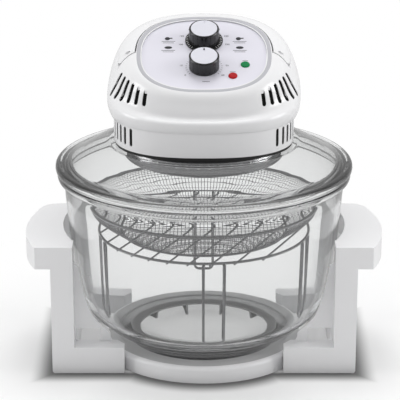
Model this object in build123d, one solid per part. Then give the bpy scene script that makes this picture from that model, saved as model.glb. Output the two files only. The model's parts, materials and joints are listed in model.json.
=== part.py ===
from build123d import *
import math
import os

# Halogen convection oven: glass bowl on a moulded stand, with a power head set in a glass lid.
# Frame: origin on the floor under the bowl's axis, +Z up, the control panel faces -Y.

# ---- stand ----
FLOOR_GAP = 1.0          # stand mouldings clear the floor by this much, on rubber pads
RING_R = 115.0
RING_TOP = 19.0
SEAT_Z = 16.0            # ledge that the bowl's foot rests on
SEAT_R = 97.0
SEAT_BORE = 74.0
BLOCK_FRONT = 87.0       # front and rear faces of the foot blocks
BLOCK_BACK = 63.0
BLOCK_INNER = 88.0
BLOCK_TOP = 31.0
POST_IN = 143.0
POST_OUT = 167.5
GRIP_BOTTOM = 124.0
GRIP_TOP = 149.0
GRIP_OUT = 197.5
GRIP_REAR = 61.0
BOWL_GAP_R = 158.0       # the grips are cut back to this radius round the bowl
PAD_R = 8.0

# ---- glass bowl and lid ----
WALL = 5.0
FLANGE_R = 163.0
MOUTH_R = 151.0
MOUTH_Z = 213.0
LID_R = 165.0
LAND_Z = 247.0           # flat ring of the lid that carries the power head
LAND_R = 104.0
HOLE_R = 86.0

# ---- wire goods ----
RACK_R = 118.0
RACK_Z = 143.0
RACK_WIRE = 2.2
CROSS_WIRE = 1.5
CROSS_PITCH = 22.0
CROSS_TURN = 25.0
LEG_ANGLES = (-90 + 5, -90 - 72, -90 + 72, 90)
LEG_SPREAD = 22.0
LEG_FOOT_R = 115.0
LEG_FOOT_Z = 48.15       # bars of the legs' feet, just clear of the bowl's curve
LEG_WIRE = 1.8
BASKET_R = 129.5
BASKET_Z = 177.0
BASKET_FLOOR_R = 93.0
BASKET_WIRE = 1.5
BASKET_RIBS = 28

# ---- power head ----
SQUARE = 2.5             # superellipse power of the head's oval plan
HEAD_BOTTOM = 251.5
HEAD_SEAM = 279.0
LOWER_A = 99.5
LOWER_B = 90.0
SHELL = 2.5
SEAT_LIP = 2.5           # the upper shell's rim is thicker, to sit on the lower band
SLOPE = 23.5             # control panel, degrees from level
PANEL_FRONT_Y = -72.0
PANEL_FRONT_Z = 320.0
PANEL_A = 73.0
PANEL_B = 66.0
PANEL_Y = -12.0
BEZEL = 5.0
HANDLE_Y = -7.5          # the carry handle's front ends
HANDLE_DEEP = 7.0
HANDLE_DROP = 17.4       # its lower line, below the panel plane
HANDLE_GAP = 0.8
HUB_R = 6.5              # the handle's hub round each pin
HUB_IN = 81.2            # half the space between the arms' lower ends
PIVOT_Y = -2.0
PIVOT_Z = 344.0
PIN_R = 2.5

# ---- safety switch ----
PLUNGER_Y = 60.0
PLUNGER_R = 2.5
PLUNGER_TOP = 362.0

# ---- reflector, lamp and fan ----
DRUM_R = 84.2
DRUM_BOTTOM = 227.5
CEILING_Z = 245.0
DRUM_HOLES = 44
LAMP_R = 62.0
LAMP_TUBE = 4.5
LAMP_Z = 236.0
SHAFT_R = 3.0
RUNNING = 0.05
MOTOR_R = 28.0
MOTOR_Z = 268.0
MOTOR_H = 40.0
PLATE_Z = 254.0

# ---- knobs ----
KNOB_R = 16.4
KNOB_H = 15.3
KNOB_UP = 24.5           # place along the panel slope from the panel's centre
KNOB_LOW = -21.5
LENS_GREEN = (44.5, -17.6)
LENS_RED = (30.9, -36.9)
LENS_R = 5.0

LOW = (Align.CENTER, Align.CENTER, Align.MIN)
TAN = math.tan(math.radians(SLOPE))


def rod(start, end, radius):
    """A straight round wire between two points."""
    a = Vector(*start)
    run = Vector(*end) - a
    return Plane(origin=a, z_dir=run) * Cylinder(radius, run.length, align=LOW)


def tube(outer, inner, bottom, top):
    """An upright ring with a flat top and bottom."""
    height = top - bottom
    return Pos(0, 0, bottom) * (
        Cylinder(outer, height, align=LOW) - Cylinder(inner, height, align=LOW))


def polar(radius, degrees, z=0.0):
    a = math.radians(degrees)
    return (radius * math.cos(a), radius * math.sin(a), z)


def oval(a, b, points=20):
    """The head's plan: a superellipse, fuller at its corners than an ellipse."""
    pts = []
    for i in range(points):
        t = 2 * math.pi * i / points
        c = math.cos(t)
        s = math.sin(t)
        x = a * math.copysign(abs(c) ** (2 / SQUARE), c)
        y = b * math.copysign(abs(s) ** (2 / SQUARE), s)
        pts.append((x, y))
    return make_face(Spline(*pts, periodic=True))


def panel_height(y):
    """Height of the sloping panel plane at a distance y from the axis."""
    return PANEL_FRONT_Z + (y - PANEL_FRONT_Y) * TAN


def slope_plane(y, drop=0.0):
    """A plane parallel to the panel, below it by drop along its normal."""
    t = math.radians(SLOPE)
    return Plane(origin=(0, y + drop * math.sin(t), panel_height(y) - drop * math.cos(t)),
                 x_dir=(1, 0, 0), z_dir=(0, -math.sin(t), math.cos(t)))


def panel_outline(grow=0.0):
    return oval(PANEL_A + grow, PANEL_B + grow)


def on_panel(x, up, raise_by=0.0):
    """Placement on the panel face, up the slope from its centre."""
    return slope_plane(PANEL_Y) * Pos(x, up, raise_by)


def head_form(inset=0.0):
    """The upper housing's outer form, or the same form drawn in by a wall's thickness."""
    rim = SEAT_LIP if inset else 0.0
    rows = (
        (Plane.XY.offset(HEAD_SEAM - rim), 102.0 - rim, 91.0 - rim),
        (Plane.XY.offset(HEAD_SEAM + 9.0), 105.6, 92.0),
        (slope_plane(-6, 16.0 + inset), 93.5, 86.7),
        (slope_plane(-11, 5.0 + inset), 83.0, 74.7),
        (slope_plane(PANEL_Y, inset), PANEL_A, PANEL_B),
    )
    return loft([plane * oval(a - inset, b - inset) for plane, a, b in rows])


def handle_zone(front, drop, grow):
    """Space round the back of the panel, behind the handle's front ends."""
    above = slope_plane(0, drop) * Box(400, 400, 80, align=LOW)
    behind = Pos(0, front, 250) * Box(400, 300, 200, align=(Align.CENTER, Align.MIN, Align.MIN))
    inside = slope_plane(PANEL_Y, 60) * extrude(panel_outline(grow), 100)
    return (above & behind) - inside


# ---------------- stand ----------------

def tongue(angle):
    """A flat lug by which the ring is screwed to a side frame."""
    return Rot(0, 0, angle) * Pos(RING_R - 6, 0, 4) * Box(
        24, 16, 4, align=(Align.MIN, Align.CENTER, Align.MIN))


def tongue_angles():
    a = math.degrees(math.atan2(75, 103))
    return (a, 180 - a, 180 + a, -a)


def base_ring():
    """Outer skirt of the stand's ring, with a lug for each screw."""
    with BuildSketch(Plane.XZ) as section:
        with BuildLine():
            Polyline((RING_R - 3, FLOOR_GAP), (RING_R, FLOOR_GAP), (RING_R - 1, 14))
            RadiusArc((RING_R - 1, 14), (RING_R - 6, RING_TOP), -5)
            Polyline((RING_R - 6, RING_TOP), (RING_R - 6, SEAT_Z), (RING_R - 3.5, SEAT_Z),
                     (RING_R - 3, FLOOR_GAP))
        make_face()
    ring = revolve(section.sketch, Axis.Z)
    for angle in tongue_angles():
        ring += tongue(angle)
        ring -= Pos(*polar(127, angle)) * Cylinder(2.0, 30)
    return ring


def bowl_seat():
    """Flat plate in the ring on which the bowl stands, and the rim that centres the bowl."""
    plate = tube(RING_R - 3.5, SEAT_BORE, SEAT_Z - 3, SEAT_Z)
    rim = tube(RING_R - 6, SEAT_R, SEAT_Z, RING_TOP)
    inner_edge = rim.edges().filter_by(GeomType.CIRCLE).group_by(Axis.Z)[-1].sort_by(SortBy.RADIUS)[0]
    rim = chamfer(inner_edge, 1)
    return Compound(children=[plate, rim])


def seat_ribs():
    """Upright ribs under the plate, from the floor gap to its underside."""
    return Compound(children=[
        Rot(0, 0, 15 + 30 * k) * Pos(SEAT_BORE + 2, 0, FLOOR_GAP) * Box(
            RING_R - SEAT_BORE - 5.4, 2.4, SEAT_Z - 3 - FLOOR_GAP,
            align=(Align.MIN, Align.CENTER, Align.MIN))
        for k in range(12)])


def base_screws():
    screws = []
    for angle in tongue_angles():
        screw = Cylinder(2.0, 14, align=LOW) + Pos(0, 0, -1.5) * Cylinder(4.0, 2.5, align=LOW)
        screws.append(Pos(*polar(127, angle, 3.0)) * screw)
    return Compound(children=screws)


def pad_places():
    return [(sx * 150, sy * 75) for sx in (-1, 1) for sy in (-1, 1)]


def side_frame(side):
    """Side moulding: two foot blocks, a front post, a raked rear post, a rail, and the grip."""
    with BuildSketch(Plane.YZ.offset(POST_IN)) as loop:
        with BuildLine():
            Polyline((-BLOCK_FRONT, FLOOR_GAP), (BLOCK_FRONT, FLOOR_GAP), (BLOCK_FRONT, BLOCK_TOP),
                     (GRIP_REAR, GRIP_TOP), (-BLOCK_FRONT, GRIP_TOP), (-BLOCK_FRONT, FLOOR_GAP))
        make_face()
        with BuildLine():
            Polyline((-BLOCK_BACK, BLOCK_TOP), (BLOCK_BACK - 3, BLOCK_TOP), (38, GRIP_BOTTOM),
                     (-BLOCK_BACK, GRIP_BOTTOM), (-BLOCK_BACK, BLOCK_TOP))
        make_face(mode=Mode.SUBTRACT)
    body = extrude(loop.sketch, POST_OUT - POST_IN)
    for sign in (-1, 1):
        block = Pos(BLOCK_INNER, sign * (BLOCK_FRONT + BLOCK_BACK) / 2, FLOOR_GAP) * Box(
            POST_IN - BLOCK_INNER + 1, BLOCK_FRONT - BLOCK_BACK, BLOCK_TOP - FLOOR_GAP,
            align=(Align.MIN, Align.CENTER, Align.MIN))
        body += block
    body = fillet(body.edges().filter_by(Axis.Y).group_by(Axis.X)[-1], 3)
    with BuildSketch(Plane.XY.offset(GRIP_BOTTOM)) as plan:
        with BuildLine():
            front = Polyline((POST_IN, GRIP_REAR), (POST_IN, -BLOCK_FRONT), (184, -BLOCK_FRONT))
            Spline(front @ 1, (195.5, -50), (GRIP_OUT, -5), (188, 42), (165, GRIP_REAR),
                   tangents=((0.5, 1), (-1, 0)))
            Line((165, GRIP_REAR), (POST_IN, GRIP_REAR))
        make_face()
    grip = extrude(plan.sketch, GRIP_TOP - GRIP_BOTTOM)
    grip -= Pos(POST_OUT + 4, -BLOCK_BACK, GRIP_BOTTOM - 1) * Box(
        14, GRIP_REAR + BLOCK_BACK - 30, 15, align=Align.MIN)
    body += grip
    with BuildSketch(Plane.XZ.offset(BLOCK_BACK)) as web:
        with BuildLine():
            Polyline((POST_IN + 1, BLOCK_TOP - 1), (104, BLOCK_TOP - 1), (104, 40))
            Spline((104, 40), (114, 50), (128.5, 75), (138, 120), tangents=((0.4, 1), (0.15, 1)))
            Polyline((138, 120), (POST_IN + 1, 124), (POST_IN + 1, BLOCK_TOP - 1))
        make_face()
        with Locations((128, 39)):
            Rectangle(26, 16, mode=Mode.SUBTRACT)
    body += extrude(web.sketch, 4)
    body -= Pos(0, 0, 60) * Cylinder(BOWL_GAP_R, 110, align=LOW) - Pos(0, -200 - BLOCK_BACK, 0) * Box(
        600, 400, 600)
    body -= Cylinder(RING_R, 40, align=LOW)
    body = body.solids().sort_by(SortBy.VOLUME)[-1]
    for angle in tongue_angles():
        body -= tongue(angle)
        body -= Pos(*polar(127, angle, 1.0)) * Cylinder(4.0, 3.0, align=LOW)
        body -= Pos(*polar(127, angle, 3.0)) * Cylinder(2.0, 14.0, align=LOW)
    for x, y in pad_places():
        body -= Pos(x, y, 0) * Cylinder(PAD_R, 4, align=LOW)
    return body if side > 0 else mirror(body, Plane.YZ)


def rubber_pad(x, y):
    pad = Cylinder(PAD_R, 4, align=LOW)
    pad = fillet(pad.edges().group_by(Axis.Z)[0], 0.8)
    return Pos(x, y, 0) * pad


# ---------------- glass ----------------

def bowl_outside():
    return Spline((86, SEAT_Z), (101, 28.5), (117, 40), (135, 60), (146.5, 100), (154.6, 186),
                  tangents=((1, 0.35), (0.04, 1)))


def bowl_inside():
    return Spline((149.6, 186), (141.5, 101), (130.7, 63), (114, 44.5), (98.5, 33.5), (84, 24),
                  tangents=((-0.04, -1), (-1, -0.3)))


def glass_bowl():
    """Blown bowl: flat foot, deep curved side and a heavy rolled flange."""
    with BuildSketch(Plane.XZ) as section:
        with BuildLine():
            Line((0, SEAT_Z), (86, SEAT_Z))
            bowl_outside()
            Polyline((154.6, 186), (155.6, 203), (FLANGE_R - 2, 205.5), (FLANGE_R, 207.5),
                     (FLANGE_R, MOUTH_Z - 1), (FLANGE_R - 1, MOUTH_Z), (MOUTH_R + 1, MOUTH_Z),
                     (MOUTH_R, MOUTH_Z - 1), (MOUTH_R, 204), (149.6, 186))
            bowl_inside()
            Polyline((84, 24), (70, 22), (0, 22), (0, SEAT_Z))
        make_face()
    return revolve(section.sketch, Axis.Z)


def glass_lid():
    """Low glass dome: rim bead and locating lip outside, flat land and hole for the head."""
    with BuildSketch(Plane.XZ) as section:
        with BuildLine():
            Line((MOUTH_R, MOUTH_Z), (LID_R, MOUTH_Z))
            Line((LID_R, MOUTH_Z), (LID_R, 219))
            RadiusArc((LID_R, 219), (161.5, 222.5), -3.5)
            Line((161.5, 222.5), (157, 222.5))
            Spline((157, 222.5), (150, 224.5), (130, 236), (LAND_R, LAND_Z),
                   tangents=((-1, 0), (-1, 0)))
            Polyline((LAND_R, LAND_Z), (HOLE_R, LAND_Z), (HOLE_R, LAND_Z - 4.5),
                     (LAND_R - 1, LAND_Z - 4.5))
            Spline((LAND_R - 1, LAND_Z - 4.5), (128.5, 231.5), (145, 221),
                   tangents=((1, 0), (1, -0.7)))
            Polyline((145, 221), (145, 208), (146, 207), (149, 207), (150, 208), (150, MOUTH_Z),
                     (MOUTH_R, MOUTH_Z))
        make_face()
    return revolve(section.sketch, Axis.Z)


# ---------------- wire goods ----------------

def torus_ring(radius, wire, z):
    return Pos(0, 0, z) * Torus(radius, wire)


def rack_ring():
    return torus_ring(RACK_R, RACK_WIRE, RACK_Z)


def wire_rack():
    """Parallel cross wires, welded under the rack's ring."""
    cross_z = RACK_Z - RACK_WIRE - CROSS_WIRE
    wires = []
    for k in range(10):
        offset = (k - 4.5) * CROSS_PITCH
        half = math.sqrt(RACK_R ** 2 - offset ** 2) + 1.0
        wires.append(Rot(0, 0, 90 - CROSS_TURN) * rod(
            (-half, offset, cross_z), (half, offset, cross_z), CROSS_WIRE))
    return wires


def rack_leg(angle):
    """One U-shaped leg that hangs from the ring and stands on the bowl's curve."""
    side = LEG_SPREAD / 2
    with BuildLine() as path:
        FilletPolyline((RACK_R - 0.5, -side, RACK_Z - 1), (LEG_FOOT_R, -side, LEG_FOOT_Z),
                       (LEG_FOOT_R, side, LEG_FOOT_Z), (RACK_R - 0.5, side, RACK_Z - 1), radius=6)
    start = Plane(origin=path.line @ 0, z_dir=path.line % 0)
    leg = sweep(start * Circle(LEG_WIRE), path=path.line)
    return Rot(0, 0, angle) * leg


def rack_legs(ring, wires):
    """The four legs, cut back where they are welded to the rack."""
    return [(rack_leg(angle) - [ring, *wires]).solids().sort_by(SortBy.VOLUME)[-1]
            for angle in LEG_ANGLES]


def basket_floor_z():
    return RACK_Z - RACK_WIRE + BASKET_WIRE + 0.35


def basket_rim():
    return torus_ring(BASKET_R, 2.2, BASKET_Z)


def basket_foot_ring():
    return torus_ring(BASKET_FLOOR_R, BASKET_WIRE, basket_floor_z())


def basket_mesh(foot):
    """Mesh wall and floor, drawn with the wires that carry the fine mesh, welded to the foot ring."""
    floor_z = basket_floor_z()
    wires = []
    for k in range(BASKET_RIBS):
        a = 360.0 / BASKET_RIBS * k
        wires.append(rod(polar(BASKET_FLOOR_R, a, floor_z), polar(BASKET_R - 2.0, a, BASKET_Z - 1.2), 0.8))
    for turn, z in ((0, floor_z), (90, floor_z + 1.6)):
        for k in range(-3, 4):
            offset = k * 24.0
            half = math.sqrt((BASKET_FLOOR_R - 1.0) ** 2 - offset ** 2)
            wires.append(Rot(0, 0, turn) * rod((-half, offset, z), (half, offset, z), 0.8))
    return Compound(children=[wire - foot for wire in wires])


# ---------------- head housings ----------------

def wall_point(a, b, y):
    """A point of the oval at depth y on the right side, and its outward direction."""
    x = a * (1 - abs(y / b) ** SQUARE) ** (1 / SQUARE)
    nx = abs(x / a) ** (SQUARE - 1) / a
    ny = math.copysign(abs(y / b) ** (SQUARE - 1), y) / b
    return x, math.degrees(math.atan2(ny, nx))


def slot(a, b, y, bottom, top, width, side):
    """A round-ended vent slot cut square to the wall."""
    x, turn = wall_point(a, b, y)
    cut = extrude(Plane.YZ.offset(-15) * SlotOverall(top - bottom, width, rotation=90), 30)
    cut = Pos(x, y, (top + bottom) / 2) * Rot(0, 0, turn) * cut
    return cut if side > 0 else mirror(cut, Plane.YZ)


def upper_vents():
    cuts = []
    for side in (-1, 1):
        for i, y in enumerate((-26, -37, -47, -57, -66, -74)):
            cuts.append(slot(101.5, 91.0, y, 302, 328 - 1.7 * i, 5.0, side))
    return cuts


def lower_vents():
    cuts = []
    for side in (-1, 1):
        for y in (-30, -40, -49, -57, -65):
            cuts.append(slot(LOWER_A, LOWER_B, y, 257, 277, 4.4, side))
    return cuts


def pivot_rods(radius, middle, length):
    """A rod across each end of the carry handle, along its hinge line."""
    return [Pos(side * middle, PIVOT_Y, PIVOT_Z) * Rot(0, 90, 0) * Cylinder(radius, length)
            for side in (-1, 1)]


def upper_housing():
    """Hollow upper shell, stepped down where the carry handle lies, open at the panel."""
    floor = HANDLE_DEEP + HANDLE_GAP
    well = handle_zone(HANDLE_Y - 2.0, HANDLE_DROP + HANDLE_GAP, 0.9)
    walls = handle_zone(HANDLE_Y - 2.0 - SHELL, HANDLE_DROP + HANDLE_GAP + SHELL, 0.9 - SHELL)
    shell = head_form() - head_form(floor + SHELL)
    shell -= head_form(SHELL) - walls
    shell -= well - head_form(floor)
    opening = slope_plane(PANEL_Y, 30) * extrude(panel_outline(-BEZEL), 50)
    plunger_way = Pos(0, PLUNGER_Y, PLUNGER_TOP) * Cylinder(PLUNGER_R + 0.5, 36)
    return shell - [opening, plunger_way, *upper_vents(), *pivot_rods(PIN_R + RUNNING, 76, 20)]


def carry_handle():
    """Bail handle that lies flush round the back of the panel and swings up on two pins."""
    swing = slope_plane(PIVOT_Y) * Box(400, 200, 80, align=(Align.CENTER, Align.MIN, Align.CENTER))
    round_ends = Pos(0, PIVOT_Y, PIVOT_Z) * Rot(0, 90, 0) * Cylinder(11.2, 400)
    space = handle_zone(HANDLE_Y, HANDLE_DROP, 2.6) & (swing + round_ends)
    grip = (head_form() & space) - head_form(HANDLE_DEEP)
    grip -= pivot_rods(PIN_R, 76, 30)
    hub = Pos(0, PIVOT_Y, PIVOT_Z) * Rot(0, 90, 0) * Cylinder(HUB_R, 400)
    low_ends = Pos(0, PIVOT_Y + 1, PIVOT_Z - 3) * Box(
        2 * HUB_IN, 20, 20, align=(Align.CENTER, Align.MAX, Align.MAX))
    grip -= low_ends - hub
    return grip.solids().sort_by(SortBy.VOLUME)[-1]


def handle_pins():
    return Compound(children=pivot_rods(PIN_R, 75.5, 11))


def safety_plunger():
    """Pin that the lowered handle holds down on the safety switch."""
    return Pos(0, PLUNGER_Y, PLUNGER_TOP - 22) * Cylinder(PLUNGER_R, 22, align=LOW)


def lower_housing():
    """Lower band of the head, with a floor that carries the motor plate."""
    band = Pos(0, 0, HEAD_BOTTOM) * extrude(oval(LOWER_A, LOWER_B), HEAD_SEAM - HEAD_BOTTOM)
    band -= Pos(0, 0, PLATE_Z) * extrude(oval(LOWER_A - SHELL, LOWER_B - SHELL), 60)
    band -= Pos(0, 0, 240) * Cylinder(72, 40, align=LOW)
    return band - [Pos(0, LOWER_B, 264) * Rot(90, 0, 0) * Cylinder(6, 20), *lower_vents()]


def head_gasket():
    ring = extrude(oval(LOWER_A - 1, LOWER_B - 1), HEAD_BOTTOM - LAND_Z - 1.2)
    ring -= extrude(oval(LOWER_A - 6, LOWER_B - 3.6), 10)
    return Pos(0, 0, LAND_Z + 1.2) * ring


def cord_gland():
    gland = Cylinder(6, 14, align=LOW) + Pos(0, 0, 6) * Cylinder(8.5, 4, align=LOW)
    return Pos(0, LOWER_B - 6, 264) * Rot(-90, 0, 0) * (gland - Cylinder(3, 60))


def control_panel():
    """Face plate let into the bezel, with holes for the shafts and lenses."""
    plate = slope_plane(PANEL_Y, 4.0) * extrude(panel_outline(-BEZEL), 2.5)
    for up in (KNOB_UP, KNOB_LOW):
        plate -= on_panel(0, up) * Cylinder(4.0, 20)
    for x, up in (LENS_GREEN, LENS_RED):
        plate -= on_panel(x, up) * Cylinder(LENS_R - 0.6, 20)
    return plate


def dial_ring():
    ring = Cylinder(20.7, 1.6, align=LOW) - Cylinder(5, 10)
    return on_panel(0, KNOB_UP, -1.5) * ring


def pilot_lens(place):
    lens = Cylinder(LENS_R - 0.6, 5, align=LOW) + Pos(0, 0, 5) * Cylinder(LENS_R, 1.6, align=LOW)
    lens = fillet(lens.edges().group_by(Axis.Z)[-1], 1.4)
    return on_panel(place[0], place[1], -6.5) * lens


def knob_skirt(up):
    """Round knob skirt with shallow grip flutes, over its shaft."""
    skirt = Cylinder(KNOB_R, KNOB_H, align=LOW)
    skirt = chamfer(skirt.edges().group_by(Axis.Z)[-1], 0.8)
    skirt -= [Pos(*polar(KNOB_R + 0.9, 22.5 * k, 3)) * Cylinder(1.3, 20, align=LOW)
              for k in range(16)]
    skirt -= Pos(0, 0, KNOB_H - 1.2) * Cylinder(KNOB_R - 2, 3, align=LOW)
    skirt -= Cylinder(SHAFT_R, 9, align=LOW)
    return on_panel(0, up, knob_base(up)) * skirt


def knob_base(up):
    return 0.5 if up == KNOB_UP else -1.1


def knob_cap(up):
    cap = Cylinder(KNOB_R - 2, 1.5, align=LOW)
    cap -= Pos(0, KNOB_R - 5.5, 0.9) * Box(1.4, 5, 2, align=LOW)
    return on_panel(0, up, knob_base(up) + KNOB_H - 1.2) * cap


def knob_shaft(up):
    """Control spindle from the knob down into its switch body."""
    return on_panel(0, up, -14) * Cylinder(SHAFT_R, 14 + knob_base(up) + 9, align=LOW)


def control_body(up, size, depth):
    """Switch body behind the panel, with a bushing for the spindle."""
    body = Pos(0, 0, -4 - depth) * Box(size, size, depth - 1.5, align=LOW)
    body += Pos(0, 0, -6) * Cylinder(5, 2, align=LOW)
    body -= Pos(0, 0, -15) * Cylinder(SHAFT_R + RUNNING, 30, align=LOW)
    return on_panel(0, up) * body


# ---------------- reflector, lamp and fan ----------------

def reflector_drum():
    """Spun metal reflector, open below, with a row of vent holes round it."""
    with BuildSketch(Plane.XZ) as section:
        with BuildLine():
            Polyline((5, CEILING_Z), (DRUM_R - 3, CEILING_Z), (DRUM_R, CEILING_Z - 3),
                     (DRUM_R - 1, DRUM_BOTTOM + 1), (DRUM_R + 0.6, DRUM_BOTTOM + 1),
                     (DRUM_R + 0.6, DRUM_BOTTOM), (DRUM_R - 1.8, DRUM_BOTTOM),
                     (DRUM_R - 0.8, CEILING_Z - 3.4), (DRUM_R - 3.4, CEILING_Z - 0.8),
                     (5, CEILING_Z - 0.8), (5, CEILING_Z))
        make_face()
    holes = []
    for k in range(DRUM_HOLES):
        a = 360.0 / DRUM_HOLES * (k + 0.5)
        holes.append(Pos(*polar(DRUM_R - 0.5, a, 239.0)) * Rot(0, 0, a) * Rot(0, 90, 0) * Cylinder(1.5, 6))
    return revolve(section.sketch, Axis.Z) - holes


def reflector_flange():
    """Bright trim plate between the head and the glass, with a collar into the hole."""
    return tube(99, 80, LAND_Z, LAND_Z + 1.2) + tube(85.4, 84.6, CEILING_Z - 3, LAND_Z + 1)


def motor_plate():
    """Plate that closes the head's floor and hangs the reflector on four spacers."""
    plate = tube(80, 4.5, PLATE_Z, PLATE_Z + 1.5)
    for k in range(4):
        plate += Pos(*polar(66, 45 + 90 * k, CEILING_Z)) * Cylinder(
            3, PLATE_Z - CEILING_Z + 0.5, align=LOW)
    return plate


def lamp():
    """Ring-shaped halogen tube with its gap at the rear."""
    with BuildLine() as path:
        CenterArc((0, 0, LAMP_Z), LAMP_R, 105, 330)
    start = Plane(origin=path.line @ 0, z_dir=path.line % 0)
    return sweep(start * Circle(LAMP_TUBE), path=path.line)


def lamp_holders(tube_lamp):
    """Ceramic blocks that hang from the ceiling and hold the lamp's ends."""
    blocks = []
    for a in (101.77, 78.23):
        block = Box(13, 7, CEILING_Z - 0.8 - 230.5, align=LOW)
        blocks.append(Pos(*polar(LAMP_R, a, 230.5)) * Rot(0, 0, a) * block - tube_lamp)
    return Compound(children=blocks)


def lamp_guard():
    """Wire guard that closes the reflector's mouth below the lamp."""
    z = DRUM_BOTTOM + 1.2
    guard = torus_ring(DRUM_R - 3.4, 1.2, z) + torus_ring(54, 1.0, z) + torus_ring(26, 1.0, z)
    for k in range(8):
        a = 22.5 + 45 * k
        guard += rod(polar(26, a, z), polar(DRUM_R - 1.75, a, z), 1.0)
    return guard


def hot_air_fan():
    """Pressed fan wheel with eight bent blades, turning under the reflector's ceiling."""
    wheel = Pos(0, 0, 241.8) * Cylinder(20, 1.0, align=LOW)
    for k in range(8):
        blade = Pos(17, 0, 241.8) * Rot(28, 0, 0) * Box(
            31, 13, 1.0, align=(Align.MIN, Align.CENTER, Align.CENTER))
        wheel += Rot(0, 0, 45 * k) * (blade & Pos(0, 0, 232) * Cylinder(48, 11.4, align=LOW))
    wheel += Pos(0, 0, 236.5) * Cylinder(6, 6.3, align=LOW)
    wheel -= Cylinder(SHAFT_R, 600)
    return wheel


def cooling_fan():
    wheel = Pos(0, 0, 258.2) * Cylinder(7, 6, align=LOW)
    for k in range(7):
        blade = Pos(5, 0, 261.0) * Rot(30, 0, 0) * Box(
            31, 8, 1.0, align=(Align.MIN, Align.CENTER, Align.CENTER))
        wheel += Rot(0, 0, 360.0 / 7 * k) * blade
    wheel -= Cylinder(SHAFT_R, 600)
    return wheel


def fan_shaft():
    return Pos(0, 0, 234.5) * Cylinder(SHAFT_R, MOTOR_Z + 32 - 234.5, align=LOW)


def motor():
    """Shaded-pole motor: laminated stack, end caps and a bore for the shaft."""
    body = Pos(0, 0, MOTOR_Z) * Cylinder(MOTOR_R - 6, MOTOR_H, align=LOW)
    body += Pos(0, 0, MOTOR_Z + 11) * Box(56, 50, 18, align=LOW)
    body -= Pos(0, 0, MOTOR_Z - 1) * Cylinder(SHAFT_R + RUNNING, 34, align=LOW)
    return body


def motor_bracket():
    """Three-legged spider that lifts the motor clear of the cooling fan."""
    spider = tube(46, 8, MOTOR_Z - 2, MOTOR_Z)
    for k in range(3):
        spider += Pos(*polar(42, 90 + 120 * k, PLATE_Z + 1.5)) * Cylinder(
            3, MOTOR_Z - PLATE_Z - 3, align=LOW)
    return spider


def motor_screws():
    screws = []
    for k in range(3):
        screw = Cylinder(4, 2, align=LOW)
        screws.append(Pos(*polar(42, 90 + 120 * k, MOTOR_Z)) * screw)
    return Compound(children=screws)


def safety_switch():
    """Microswitch on a post from the motor plate, worked by the plunger."""
    top = PLUNGER_TOP - 22.0
    switch = Pos(0, PLUNGER_Y, top - 12) * Box(20, 8, 12, align=LOW)
    post = Pos(0, PLUNGER_Y, PLATE_Z + 1.5) * Box(12, 4, top - 12 - PLATE_Z - 1.5, align=LOW)
    return switch + post


def main():
    ring = rack_ring()
    cross_wires = wire_rack()
    foot = basket_foot_ring()
    tube_lamp = lamp()
    parts = {
        "base_ring": base_ring(),
        "bowl_seat": bowl_seat(),
        "seat_ribs": seat_ribs(),
        "base_screws": base_screws(),
        "side_frame_left": side_frame(-1),
        "side_frame_right": side_frame(1),
        "glass_bowl": glass_bowl(),
        "rack_ring": ring,
        "wire_rack": Compound(children=cross_wires),
        "basket_rim": basket_rim(),
        "basket_foot_ring": foot,
        "basket_mesh": basket_mesh(foot),
        "glass_lid": glass_lid(),
        "reflector_flange": reflector_flange(),
        "reflector_drum": reflector_drum(),
        "lamp_guard": lamp_guard(),
        "halogen_lamp": tube_lamp,
        "lamp_holders": lamp_holders(tube_lamp),
        "head_gasket": head_gasket(),
        "lower_housing": lower_housing(),
        "upper_housing": upper_housing(),
        "cord_gland": cord_gland(),
        "control_panel": control_panel(),
        "dial_ring": dial_ring(),
        "lens_green": pilot_lens(LENS_GREEN),
        "lens_red": pilot_lens(LENS_RED),
        "motor_plate": motor_plate(),
        "motor_bracket": motor_bracket(),
        "motor_screws": motor_screws(),
        "fan_motor": motor(),
        "thermostat_body": control_body(KNOB_UP, 30, 22),
        "timer_body": control_body(KNOB_LOW, 34, 22),
        "safety_switch": safety_switch(),
        "fan_shaft": fan_shaft(),
        "hot_air_fan": hot_air_fan(),
        "cooling_fan": cooling_fan(),
        "temperature_knob": knob_skirt(KNOB_UP),
        "temperature_knob_cap": knob_cap(KNOB_UP),
        "temperature_shaft": knob_shaft(KNOB_UP),
        "timer_knob": knob_skirt(KNOB_LOW),
        "timer_knob_cap": knob_cap(KNOB_LOW),
        "timer_shaft": knob_shaft(KNOB_LOW),
        "carry_handle": carry_handle(),
        "handle_pins": handle_pins(),
        "safety_plunger": safety_plunger(),
    }
    for name, place in zip(("front_left", "rear_left", "front_right", "rear_right"), pad_places()):
        parts["rubber_pad_" + name] = rubber_pad(*place)
    for name, leg in zip(("front", "left", "right", "rear"), rack_legs(ring, cross_wires)):
        parts["rack_leg_" + name] = leg
    os.makedirs("parts", exist_ok=True)
    for name, shape in parts.items():
        export_step(shape, f"parts/{name}.step")


main()
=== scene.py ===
"""Halogen convection oven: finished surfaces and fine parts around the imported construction."""
import json
import math
from functools import partial

import bmesh
import bpy
from mathutils import Matrix, Vector
from mathutils.bvhtree import BVHTree


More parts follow.
